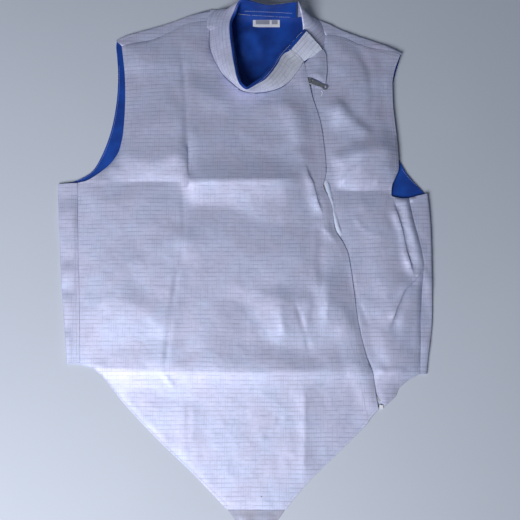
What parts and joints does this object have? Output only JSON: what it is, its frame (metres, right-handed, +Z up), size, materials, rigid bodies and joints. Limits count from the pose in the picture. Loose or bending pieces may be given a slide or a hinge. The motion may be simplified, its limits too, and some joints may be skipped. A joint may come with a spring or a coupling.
{
  "type": "foil lame",
  "caption": "Sleeveless fencing over-vest of silvery conductive cloth with a stand collar, slanting front zip and pointed groin flap, laid flat with its front up.",
  "frame": {"origin": "middle of the bounding box on the plane that the vest lies on", "axes": "+X towards the wearer's left, +Y from the groin flap towards the collar, +Z up out of the front"},
  "size_m": [0.5051, 0.707, 0.0385],
  "materials": {
    "lame_cloth": "silvery woven metallic cloth with fine dark level threads",
    "blue_lining": "smooth blue lining cloth",
    "zip_tape_cloth": "pale woven tape",
    "zip_moulding": "white moulded teeth and end box",
    "zip_metal": "grey cast metal",
    "label_cloth": "bare woven label"
  },
  "bodies": {
    "vest": {"back": "lame_cloth", "back_lining": "blue_lining", "front_right": "lame_cloth", "front_left": "lame_cloth", "crotch_tab": "lame_cloth", "collar_right": "lame_cloth", "collar_back": "lame_cloth", "collar_left": "lame_cloth", "collar_tab": "lame_cloth", "collar_lining": "blue_lining", "zip_flap": "lame_cloth", "zip_tape": "zip_tape_cloth", "zip_chain": "zip_moulding", "zip_box": "zip_moulding", "zip_slider": "zip_metal", "neck_label": "label_cloth"},
    "pull": {"zip_pull": "zip_metal"}
  },
  "joints": [
    {"name": "pull_hinge", "type": "hinge", "parent": "vest", "child": "pull", "pos_m": [0.0923, 0.2441, 0.0075], "axis": [-0.3971, -0.9178, 0], "range_deg": [0, 115]}
  ]
}
